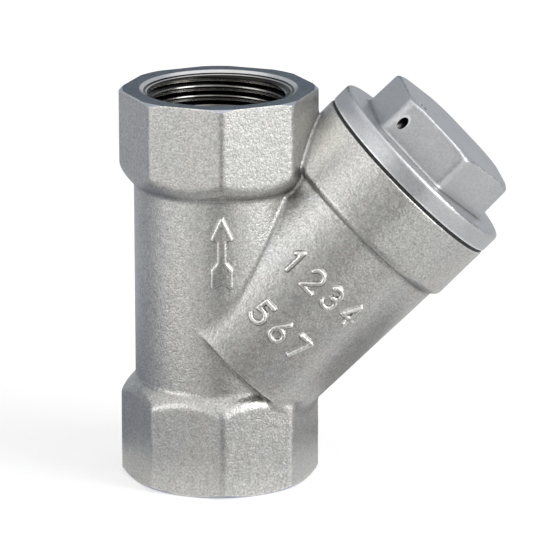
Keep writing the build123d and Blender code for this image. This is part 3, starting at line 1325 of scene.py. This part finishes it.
@dataclass
class Screen:
    """Slotted sleeve with a woven wire liner."""

    branch: Branch
    sheet: float = 0.6 * MM
    plain_end: float = 3.5 * MM
    slot_width: float = 2.6 * MM
    slot_gap: float = 1.5 * MM
    slots_round: int = 12
    slot_rows: int = 7
    slot_stagger: float = 0.5  # of every other row, in slots
    slot_corner: float = 0.499  # radius of a slot's end, in slot widths
    slot_corner_points: int = 5
    cutter_start: float = 2.5  # from the sleeve's outside inwards, in sheets
    cutter_length: float = 4.0  # in sheets
    weld: float = 0.001 * MM
    crisp_angle: float = 30.0
    liner_clearance: float = 0.05 * MM
    end_margin: float = 0.5 * MM
    wire: float = 0.17 * MM
    mesh_pitch: float = 0.98 * MM
    wire_sides: int = 4
    steps_to_crossing: int = 2

    def length(self) -> float:
        """From the screen's seat to its upper end."""
        return self.branch.screen_top - self.branch.screen_seat

    def slot_pattern(self, tree: SizedTree) -> bpy.types.NodeSocket:
        """Round-ended cutters at every slot of the sleeve."""
        row_pitch = (self.length() - 2 * self.plain_end + self.slot_gap) / self.slot_rows
        slot_length = row_pitch - self.slot_gap
        outline = tree.node(
            "GeometryNodeCurvePrimitiveQuadrilateral",
            inputs={"Width": self.slot_width, "Height": slot_length},
        )
        rounded = tree.node(
            "GeometryNodeFilletCurve",
            {"mode": "POLY"},
            {
                "Curve": outline.outputs[0],
                "Count": self.slot_corner_points,
                "Radius": self.slot_corner * self.slot_width,
            },
        )
        filled = tree.node("GeometryNodeFillCurve", {"mode": "NGONS"}, {0: rounded.outputs[0]})
        solid = tree.node(
            "GeometryNodeExtrudeMesh",
            inputs={
                "Mesh": filled.outputs[0],
                "Offset Scale": self.cutter_length * self.sheet,
                "Individual": False,
            },
        )
        lid = tree.node("GeometryNodeFlipFaces", inputs={"Mesh": filled.outputs[0]})
        both = tree.node("GeometryNodeJoinGeometry")
        for part in (solid, lid):
            tree.tree.links.new(part.outputs[0], both.inputs[0])
        closed = tree.node(
            "GeometryNodeMergeByDistance",
            inputs={"Geometry": both.outputs[0], "Distance": self.weld},
        )
        stood = tree.node(
            "GeometryNodeTransform",
            inputs={
                "Geometry": closed.outputs[0],
                "Translation": (self.branch.screen_radius - self.cutter_start * self.sheet, 0.0, 0.0),
                "Rotation": (math.pi / 2, 0.0, math.pi / 2),
            },
        )
        points = tree.node("GeometryNodePoints", inputs={"Count": self.slots_round * self.slot_rows})
        index = tree.value(tree.node("GeometryNodeInputIndex"))
        row = tree.maths("FLOOR", index / float(self.slots_round))
        stagger = tree.maths("MODULO", row, 2.0) * self.slot_stagger
        angle = (index + stagger) * (2 * math.pi / self.slots_round)
        height = row * row_pitch + (self.branch.screen_seat + self.plain_end + slot_length / 2)
        rise = tree.node("ShaderNodeCombineXYZ", inputs={2: height})
        turn = tree.node("ShaderNodeCombineXYZ", inputs={2: angle})
        placed = tree.node(
            "GeometryNodeSetPosition",
            inputs={"Geometry": points.outputs[0], "Position": rise.outputs[0]},
        )
        slots = tree.node(
            "GeometryNodeInstanceOnPoints",
            inputs={"Points": placed.outputs[0], "Instance": stood.outputs[0], "Rotation": turn.outputs[0]},
        )
        return tree.node("GeometryNodeRealizeInstances", inputs={0: slots.outputs[0]}).outputs[0]

    def sleeve(self, material: bpy.types.Material) -> bpy.types.Mesh:
        """The slotted sleeve."""
        tree = SizedTree("slotted_sleeve", {"Radius": self.branch.screen_radius, "Sheet": self.sheet})
        tube = tree.node(
            "GeometryNodeMeshCylinder",
            inputs={"Vertices": TURNED_SEGMENTS, "Radius": tree.size("Radius"), "Depth": self.length()},
        )
        hollow = tree.node(
            "GeometryNodeMeshCylinder",
            inputs={
                "Vertices": TURNED_SEGMENTS,
                "Radius": tree.size("Radius") - tree.size("Sheet"),
                "Depth": self.length() + self.sheet,
            },
        )
        middle = (0.0, 0.0, self.branch.screen_seat + self.length() / 2)
        tubes = [
            tree.node("GeometryNodeTransform", inputs={"Geometry": part.outputs[0], "Translation": middle})
            for part in (tube, hollow)
        ]
        cut = tree.node(
            "GeometryNodeMeshBoolean",
            {"operation": "DIFFERENCE", "solver": "EXACT"},
            {"Mesh 1": tubes[0].outputs[0]},
        )
        tree.tree.links.new(tubes[1].outputs[0], cut.inputs["Mesh 2"])
        slotted = tree.node(
            "GeometryNodeMeshBoolean",
            {"operation": "DIFFERENCE", "solver": "EXACT"},
            {"Mesh 1": cut.outputs[0], "Mesh 2": self.slot_pattern(tree)},
        )
        mesh = tree.mesh(slotted.outputs[0], material)
        mesh.transform(self.branch.placement().matrix())
        return mesh

    def wires(self, tree: SizedTree, hoops: bool) -> bpy.types.NodeSocket:
        """One of the two sets of woven wires.

        Args:
            tree: the tree.
            hoops: True for the wires that run round, False for those along the sleeve.

        Returns:
            Their geometry.
        """
        low = self.branch.screen_seat + self.end_margin
        length = self.length() - 2 * self.end_margin
        radius = self.branch.screen_radius - self.sheet - self.liner_clearance - self.wire
        uprights = 2 * int(math.pi * radius / self.mesh_pitch)
        rings = int(length / self.mesh_pitch)
        count, crossings = (rings, uprights) if hoops else (uprights, rings)
        steps = crossings * self.steps_to_crossing
        points = steps if hoops else steps + 1
        line = tree.node("GeometryNodeMeshLine", inputs={"Count": points, "Offset": (0, 0, 1)})
        curve = tree.node("GeometryNodeMeshToCurve", inputs={0: line.outputs[0]})
        copies = tree.node(
            "GeometryNodeDuplicateElements",
            {"domain": "SPLINE"},
            {0: curve.outputs[0], "Amount": count},
        )
        number = tree.value(copies, "Duplicate Index")
        stored = tree.node(
            "GeometryNodeStoreNamedAttribute",
            {"data_type": "FLOAT", "domain": "CURVE"},
            {"Geometry": copies.outputs[0], "Name": "wire_number", "Value": number},
        )
        wire = tree.value(
            tree.node("GeometryNodeInputNamedAttribute", {"data_type": "FLOAT"}, {"Name": "wire_number"})
        )
        step = tree.position()[2] / float(self.steps_to_crossing)
        column, row = (step, wire) if hoops else (wire, step)
        weave = 0.5 * self.wire if hoops else -0.5 * self.wire
        over = tree.maths("COSINE", (column + row) * math.pi) * weave
        angle = column * (2 * math.pi / uprights)
        out = over + radius
        bent = tree.node(
            "ShaderNodeCombineXYZ",
            inputs={
                0: out * tree.maths("COSINE", angle),
                1: out * tree.maths("SINE", angle),
                2: low + row * (length / rings) + (0.5 * length / rings if hoops else 0.0),
            },
        )
        shaped = tree.node(
            "GeometryNodeSetPosition",
            inputs={"Geometry": stored.outputs[0], "Position": bent.outputs[0]},
        )
        ends = tree.node(
            "GeometryNodeSetSplineCyclic",
            inputs={"Geometry": shaped.outputs[0], "Cyclic": hoops},
        )
        profile = tree.node(
            "GeometryNodeCurvePrimitiveCircle",
            inputs={"Resolution": self.wire_sides, "Radius": tree.size("Wire") / 2.0},
        )
        solid = tree.node(
            "GeometryNodeCurveToMesh",
            inputs={"Curve": ends.outputs[0], "Profile Curve": profile.outputs[0], "Fill Caps": not hoops},
        )
        return solid.outputs[0]

    def liner(self, material: bpy.types.Material) -> bpy.types.Mesh:
        """The woven wire liner."""
        tree = SizedTree("woven_liner", {"Wire": self.wire})
        both = tree.node("GeometryNodeJoinGeometry")
        for hoops in (True, False):
            tree.tree.links.new(self.wires(tree, hoops), both.inputs[0])
        smooth = tree.node("GeometryNodeSetShadeSmooth", inputs={"Geometry": both.outputs[0]})
        mesh = tree.mesh(smooth.outputs[0], material)
        mesh.transform(self.branch.placement().matrix())
        return mesh

    def build(self, punched: bpy.types.Material, woven: bpy.types.Material) -> None:
        """Makes sleeve and liner.

        Args:
            punched: finish of the sleeve.
            woven: finish of the wire.
        """
        sleeve = shown("slotted_sleeve", self.sleeve(punched))
        sharpen(sleeve.data, self.crisp_angle, cast_limit=self.crisp_angle)
        report(sleeve, Part.SCREEN, "screen_sheet", "screen_sleeve")
        report(shown("woven_liner", self.liner(woven)), Part.SCREEN, "screen_wire", "screen_liner")


class Stroke:
    """A line or an arc of a raised figure, in a cell one unit high."""

    ARC_STEP = 18  # degrees
    LEAST_STEPS = 4

    def __init__(self, points: list[tuple[float, float]]) -> None:
        self.points = points

    @classmethod
    def arc(cls, centre: tuple[float, float], radius: float, start: float, end: float) -> "Stroke":
        """Part of a circle.

        Args:
            centre: its centre.
            radius: its radius.
            start: angle of the first point, in degrees.
            end: angle of the last point.

        Returns:
            The stroke.
        """
        steps = max(cls.LEAST_STEPS, int(abs(end - start) / cls.ARC_STEP))
        angles = np.radians(np.linspace(start, end, steps + 1))
        return cls([(centre[0] + radius * math.cos(a), centre[1] + radius * math.sin(a)) for a in angles])


class Digit(Enum):
    """Plain figures, drawn with round-ended strokes."""

    ONE = (Stroke([(0.08, 0.76), (0.3, 1.0), (0.3, 0.0)]),)
    TWO = (Stroke([*Stroke.arc((0.3, 0.71), 0.28, 165, -38).points, (0.03, 0.0), (0.6, 0.0)]),)
    THREE = (Stroke.arc((0.27, 0.75), 0.25, 150, -85), Stroke.arc((0.28, 0.26), 0.27, 85, -150))
    FOUR = (Stroke([(0.45, 0.0), (0.45, 1.0), (0.02, 0.3), (0.62, 0.3)]),)
    FIVE = (
        Stroke([(0.54, 1.0), (0.12, 1.0), (0.07, 0.55), *Stroke.arc((0.28, 0.3), 0.3, 118, -150).points]),
    )
    SIX = (Stroke([(0.42, 1.0), (0.08, 0.48), *Stroke.arc((0.3, 0.28), 0.28, 158, -202).points]),)
    SEVEN = (Stroke([(0.02, 1.0), (0.58, 1.0), (0.2, 0.0)]),)


@dataclass
class RaisedMarks:
    """Flow arrow and plain figures that stand up from the casting."""

    body: CastBody
    voxel: float = 0.17 * MM
    bead: float = 0.46 * MM  # radius of a stroke
    lift: float = 0.24 * MM  # of a stroke's middle over the skin
    sink: float = 0.08 * MM  # of the skirt under the skin
    depth: float = 0.6 * MM  # of the solid under the skirt
    foot: float = 0.4 * MM
    skirt: float = 1.0 * MM
    arrow_tip: float = 52.0 * MM
    arrow_tail: float = 39.6 * MM
    arrow_head: float = 3.5 * MM
    arrow_half_width: float = 1.65 * MM
    shaft_half_width: float = 0.5 * MM
    tail_height: float = 3.0 * MM
    tail_flare: float = 1.4 * MM
    tail_notch: float = 1.0 * MM
    figure_height: float = 4.2 * MM
    figure_width: float = 4.6 * MM  # of the cell that the strokes are drawn in
    figure_middle: float = 0.3  # of a figure, across its cell
    figure_pitch: float = 4.8 * MM
    upper_row: float = 23.5 * MM
    lower_row: float = 12.6 * MM

    def arrow_plate(self) -> bpy.types.Mesh:
        """The arrow's flat top, bent round the run."""
        half, wide = self.shaft_half_width, self.arrow_half_width
        neck = self.arrow_tip - self.arrow_head
        flare = self.arrow_tail + self.tail_height
        side = [
            (0.0, self.arrow_tip),
            (wide, neck),
            (half, neck),
            (half, flare + self.tail_flare),
            (wide, flare),
            (wide, self.arrow_tail),
        ]
        middle = [height for _, height in side[:-1]] + [self.arrow_tail + self.tail_notch]
        radius = self.body.run_radius + self.lift
        points = []
        for (arc, height), centre in zip(side, middle):
            for across, level in ((-arc, height), (0.0, centre), (arc, height)):
                turn = across / radius
                points.append((radius * math.sin(turn), -radius * math.cos(turn), level))
        faces = [(k, k + 1, k + 4, k + 3) for row in range(len(side) - 1) for k in (3 * row, 3 * row + 1)]
        mesh = bpy.data.meshes.new("arrow_plate")
        mesh.from_pydata(points, [], faces)
        close_up(mesh)
        return mesh

    def figure_lines(self, rows: dict[float, tuple["Digit", ...]]) -> bpy.types.Mesh:
        """Middle lines of the figures, bent round the limb.

        Args:
            rows: the figures of each row, by the place of their feet along the branch.

        Returns:
            A mesh of edges.
        """
        points, edges = [], []
        for reach, digits in rows.items():
            start = -0.5 * (len(digits) - 1) * self.figure_pitch - self.figure_middle * self.figure_width
            for place, digit in enumerate(digits):
                for stroke in digit.value:
                    first = len(points)
                    for x, y in stroke.points:
                        along = reach + y * self.figure_height
                        radius = self.body.limb_radius(along) + self.lift
                        turn = (start + place * self.figure_pitch + x * self.figure_width) / radius
                        points.append((radius * math.sin(turn), -radius * math.cos(turn), along))
                    edges += [(k, k + 1) for k in range(first, len(points) - 1)]
        mesh = bpy.data.meshes.new("figure_lines")
        mesh.from_pydata(self.body.branch.placement().world(np.array(points)).tolist(), edges, [])
        return mesh

    def raised(
        self, tree: DistanceTree, skin: Value, source: bpy.types.Mesh, material: bpy.types.Material
    ) -> bpy.types.Mesh:
        """Meshes marks that grow out of the skin.

        Args:
            tree: the tree.
            skin: distance to the skin that they stand on.
            source: their middle lines or plates.
            material: their finish.

        Returns:
            The mesh.
        """
        away = tree.nearest(faces=bool(source.polygons))
        low_skin = skin + self.sink
        grown = (away - tree.size("Bead")).joined(low_skin, self.foot)
        solid = grown.at_least(-low_skin - self.depth).at_least(away - tree.size("Bead") - self.skirt)
        corners = np.array([vertex.co for vertex in source.vertices])
        margin = self.bead + self.skirt + 2 * self.voxel
        low, high = tuple(corners.min(axis=0) - margin), tuple(corners.max(axis=0) + margin)
        return tree.solid(solid, low, high, self.voxel, material, source)

    def build(self, material: bpy.types.Material) -> None:
        """Makes the arrow and the figures.

        Args:
            material: the casting's finish.
        """
        tree = DistanceTree("flow_arrow", {"Bead": self.bead})
        skin = tree.reach(tree.x, tree.y) - self.body.run_radius - self.body.unevenness(tree)
        arrow = shown("flow_arrow", self.raised(tree, skin, self.arrow_plate(), material))
        report(arrow, Part.HOUSING, "body_casting")
        tree = DistanceTree("raised_figures", {"Bead": self.bead})
        out, along = self.body.limb_coordinates(tree)
        skin = out - self.body.limb_radius(along) - self.body.unevenness(tree)
        rows = {
            self.upper_row: (Digit.ONE, Digit.TWO, Digit.THREE, Digit.FOUR),
            self.lower_row: (Digit.FIVE, Digit.SIX, Digit.SEVEN),
        }
        figures = shown("raised_figures", self.raised(tree, skin, self.figure_lines(rows), material))
        report(figures, Part.HOUSING, "body_casting")


@dataclass(frozen=True)
class Card:
    """A grey board that only reflections show: the strip between two arcs about the run's axis."""

    name: str
    middle: float  # azimuth, 0 at the camera's side and positive towards the branch, in degrees
    half_width: float  # to each side of it
    near: tuple[float, float]  # radius and height of one arc
    far: tuple[float, float]
    grey: tuple[float, float, float]

    def build(self, steps: int = 24) -> None:
        """Puts the board up.

        Args:
            steps: parts that each arc is divided into.
        """
        material, tree, _ = new_material(self.name)
        glow = tree.node("ShaderNodeEmission", inputs={"Color": (*self.grey, 1.0)})
        output = material.node_tree.nodes["Material Output"]
        tree.feed(output.inputs["Surface"], glow.outputs[0])
        start, end = self.middle - self.half_width, self.middle + self.half_width
        angles = np.radians(np.linspace(start, end, steps + 1))
        points = [
            (radius * math.sin(a), -radius * math.cos(a), height)
            for radius, height in (self.near, self.far) for a in angles
        ]
        faces = [(i, i + 1, steps + 2 + i, steps + 1 + i) for i in range(steps)]
        mesh = bpy.data.meshes.new(self.name)
        mesh.from_pydata(points, [], faces)
        mesh.materials.append(material)
        board = shown(self.name, mesh)
        for ray in ("camera", "diffuse", "shadow", "transmission", "volume_scatter"):
            setattr(board, "visible_" + ray, False)


@dataclass
class Studio:
    """Floor, lights and the camera of the photograph."""

    target: tuple[float, float, float] = (12.0 * MM, 0.0, 36.0 * MM)
    distance: float = 832.6 * MM
    azimuth: float = -2.41
    elevation: float = 15.74
    lens: float = 292.2
    shift: tuple[float, float] = (-0.0089, 0.0036)
    clip: tuple[float, float] = (0.05, 20.0)
    floor_half: float = 3.0
    floor_grey: tuple[float, float, float] = (0.8, 0.8, 0.8)
    floor_roughness: float = 0.9
    floor_glow: float = 0.25  # for the camera and in reflections
    floor_camera_glow: float = 0.24  # more of it, for the camera alone
    surround: float = 0.5  # its strength for all but the camera and reflections, where it is 1
    lamp_distance: float = 1.1
    lamp_size: float = 0.6
    card_distance: float = 1.25
    card_lift: float = 0.5 * MM  # of a lying board over the floor
    card_foot: float = 0.03  # radius at which the lying boards start
    card_close: float = 0.055  # radius at which the closest of them ends
    card_near: float = 0.1  # radius at which the other near ones end
    card_tops: tuple[float, float, float] = (0.37, 0.91, 1.6)  # heights of the standing boards
    strip_gap: float = 0.05  # from the rear strip to the wall behind it

    def build(self) -> None:
        """Sets up the whole studio."""
        self.camera()
        self.floor()
        self.world()
        self.lamps()
        self.cards()
        bpy.context.scene.view_settings.view_transform = "Standard"

    def aim(self, thing: bpy.types.Object, azimuth: float, elevation: float, distance: float) -> None:
        """Puts a camera or a lamp up and turns it to the object.

        Args:
            thing: the camera or the lamp.
            azimuth: where it stands, 0 in front and positive towards the branch, in degrees.
            elevation: over the object's middle, in degrees.
            distance: from the object's middle.
        """
        turn, rise = math.radians(azimuth), math.radians(elevation)
        away = Vector((math.sin(turn) * math.cos(rise), -math.cos(turn) * math.cos(rise), math.sin(rise)))
        thing.location = Vector(self.target) + away * distance
        thing.rotation_euler = away.to_track_quat("Z", "Y").to_euler()
        bpy.context.collection.objects.link(thing)

    def camera(self) -> None:
        """The camera, where the photograph was taken from."""
        data = bpy.data.cameras.new("camera")
        data.lens = self.lens
        data.shift_x, data.shift_y = self.shift
        data.clip_start, data.clip_end = self.clip
        camera = bpy.data.objects.new("camera", data)
        self.aim(camera, self.azimuth, self.elevation, self.distance)
        bpy.context.scene.camera = camera

    def floor(self) -> None:
        """A pale floor that keeps the object's shadow."""
        material, tree, shader = new_material("studio_floor")
        shader.inputs["Base Color"].default_value = (*self.floor_grey, 1.0)
        shader.inputs["Roughness"].default_value = self.floor_roughness
        shader.inputs["Emission Color"].default_value = (1.0, 1.0, 1.0, 1.0)
        camera_ray = tree.value(tree.node("ShaderNodeLightPath"), "Is Camera Ray")
        glow = self.seen_rays(tree) * self.floor_glow + camera_ray * self.floor_camera_glow
        tree.feed(shader.inputs["Emission Strength"], glow)
        mesh = bpy.data.meshes.new("studio_floor")
        half = self.floor_half
        corners = [(-half, -half, 0.0), (half, -half, 0.0), (half, half, 0.0), (-half, half, 0.0)]
        mesh.from_pydata(corners, [], [(0, 1, 2, 3)])
        mesh.materials.append(material)
        shown("studio_floor", mesh)

    def seen_rays(self, tree: Graph) -> Value:
        """1 for rays from the camera and for reflected and refracted ones."""
        path = tree.node("ShaderNodeLightPath")
        seen = tree.value(path, "Is Camera Ray")
        for name in ("Is Glossy Ray", "Is Transmission Ray"):
            seen = seen.at_least(tree.value(path, name))
        return seen

    def world(self) -> None:
        """A white surround, dimmed where it only lights rough surfaces."""
        world = bpy.data.worlds.new("studio")
        world.use_nodes = True
        bpy.context.scene.world = world
        tree = Graph(world.node_tree)
        background = world.node_tree.nodes["Background"]
        background.inputs["Color"].default_value = (1.0, 1.0, 1.0, 1.0)
        strength = self.seen_rays(tree) * (1.0 - self.surround) + self.surround
        tree.feed(background.inputs["Strength"], strength)

    def lamp(self, name: str, azimuth: float, elevation: float, watts: float) -> None:
        """One square lamp aimed at the object.

        Args:
            name: its name.
            azimuth: where it stands, as for aim.
            elevation: the same.
            watts: its power.
        """
        data = bpy.data.lights.new(name, "AREA")
        data.size = self.lamp_size
        data.energy = watts
        lamp = bpy.data.objects.new(name, data)
        self.aim(lamp, azimuth, elevation, self.lamp_distance)
        lamp.visible_camera = False

    def lamps(self) -> None:
        """Soft boxes to the right and to the left of the camera."""
        self.lamp("key_light", azimuth=60.0, elevation=40.0, watts=2.0)
        self.lamp("low_light", azimuth=60.0, elevation=12.0, watts=4.4)
        self.lamp("high_light", azimuth=60.0, elevation=70.0, watts=0.6)
        self.lamp("fill_light", azimuth=-60.0, elevation=12.0, watts=1.5)

    def lying(self, start: float, end: float) -> tuple[tuple[float, float], tuple[float, float]]:
        """Arcs of a board on the floor, between two radii."""
        return (start, self.card_lift), (end, self.card_lift)

    def standing(self, radius: float, top: float) -> tuple[tuple[float, float], tuple[float, float]]:
        """Arcs of a board that stands on the floor."""
        return (radius, 0.0), (radius, top)

    def cards(self) -> None:
        """Grey boards round the object and on the floor, which give the steel something dark to reflect."""
        reach = self.card_distance
        close = self.lying(self.card_foot, self.card_close)
        near = self.lying(self.card_foot, self.card_near)
        open_floor = self.lying(self.card_close, reach)
        far = self.lying(self.card_near, reach)
        low, middle, high = (self.standing(reach, top) for top in self.card_tops)
        inner = self.standing(reach - self.strip_gap, self.card_tops[1])
        # Name, azimuth of the middle, half of the width, the two arcs, and colour.
        for card in (
            Card("rear_wall", 180.0, 50.0, *high, (0.47, 0.50, 0.53)),
            Card("rear_strip", 180.0, 10.0, *inner, (0.09, 0.11, 0.13)),
            Card("left_wall", -110.0, 20.0, *middle, (0.275, 0.29, 0.325)),
            Card("left_floor_near", -115.0, 45.0, *near, (0.28, 0.295, 0.34)),
            Card("left_floor", -110.0, 20.0, *far, (0.43, 0.45, 0.49)),
            Card("rear_left_floor", -150.0, 20.0, *far, (0.56, 0.585, 0.64)),
            Card("front_wall", -10.0, 20.0, *middle, (0.50, 0.50, 0.50)),
            Card("front_left_floor_near", -40.0, 30.0, *near, (0.49, 0.49, 0.49)),
            Card("front_left_floor", -30.0, 20.0, *far, (0.87, 0.87, 0.85)),
            Card("front_floor_near", 0.0, 10.0, *near, (0.24, 0.24, 0.24)),
            Card("front_floor", 0.0, 10.0, *far, (0.17, 0.17, 0.17)),
            Card("front_right_floor_near", 30.0, 20.0, *near, (0.48, 0.48, 0.48)),
            Card("front_right_floor", 30.0, 20.0, *far, (0.99, 0.99, 0.97)),
            Card("right_wall", 100.0, 30.0, *low, (0.08, 0.08, 0.08)),
            Card("right_floor_near", 110.0, 40.0, *close, (0.35, 0.35, 0.36)),
            Card("right_floor", 110.0, 40.0, *open_floor, (0.77, 0.77, 0.77)),
        ):
            card.build()


def main() -> None:
    """Builds the filter and its studio."""
    logging.basicConfig(level=logging.INFO)
    branch = Branch()
    body = CastBody(branch)
    # The blasted casting: painted shade in corners and under its hubs, painted highlights on its edges.
    blasted = Steel(
        "blasted_casting", (0.57, 0.56, 0.535), (0.52, 0.52, 0.51), 0.36,
        grain_contrast=0.3, grain_height=0.06 * MM, painted_corner_shade=0.5, painted_underside_shade=0.5, edge=0.5,
    )
    # Raised marks: smoother tops, strong painted highlights on their edges and light painted shade round
    # their feet.
    rubbed_and_highlit = replace(
        blasted, name="rubbed_relief", roughness=0.30, painted_corner_shade=0.2, edge=1.2, highlight_reach=0.6 * MM
    )
    # The cap's casting: painted shade in corners, painted highlights on its edges.
    satin = Steel(
        "satin_casting", (0.565, 0.57, 0.58), (0.515, 0.525, 0.545), 0.38,
        grain_contrast=0.12, grain_height=0.025 * MM, painted_corner_shade=0.5, edge=0.6,
    )
    faced = Steel(
        "turned_face", (0.585, 0.615, 0.665), (0.50, 0.53, 0.595), 0.30,
        turning=0.25 * MM, turning_height=0.004 * MM,
    )
    sunk = Steel("countersink", (0.78, 0.78, 0.78), (0.68, 0.68, 0.69), 0.25, grain_contrast=0.05)
    # The pipe threads: painted highlights on edges, and painted shade and highlights by depth in the
    # thread.
    tapped = Steel(
        "tapped_thread", (0.68, 0.67, 0.65), (0.58, 0.57, 0.54), 0.25,
        grain_contrast=0.05, edge=0.5, groove=(body.port_thread.minor, body.port_thread.major),
    )
    # The passages: painted shade in their corners.
    bored = Steel(
        "bored_inside", (0.42, 0.42, 0.42), (0.35, 0.35, 0.36), 0.30, grain_contrast=0.05, painted_corner_shade=0.5
    )
    # Painted shade: the hole for the sealing wire is coloured nearly black.
    shaded_hole = replace(bored, name="drilled_hole", colour=(0.16, 0.16, 0.16), tint=(0.12, 0.12, 0.12))
    # The sleeve: faint painted highlights on its edges.
    punched = Steel(
        "punched_sheet", (0.64, 0.64, 0.63), (0.58, 0.59, 0.60), 0.30, grain_contrast=0.05, edge=0.2
    )
    woven = Steel("woven_wire", (0.60, 0.60, 0.59), (0.52, 0.52, 0.52), 0.32, grain_contrast=0.05)
    Studio().build()
    body.build(blasted.material(), faced.material(), tapped.material(), sunk.material(), bored.material())
    RaisedMarks(body).build(rubbed_and_highlit.material())
    ScrewCap(branch).build(satin.material(), faced.material(branch.placement()), shaded_hole.material())
    Gasket(branch).build(SheetGasket().material())
    Screen(branch).build(punched.material(branch.placement()), woven.material())


if __name__ == "__main__":
    main()
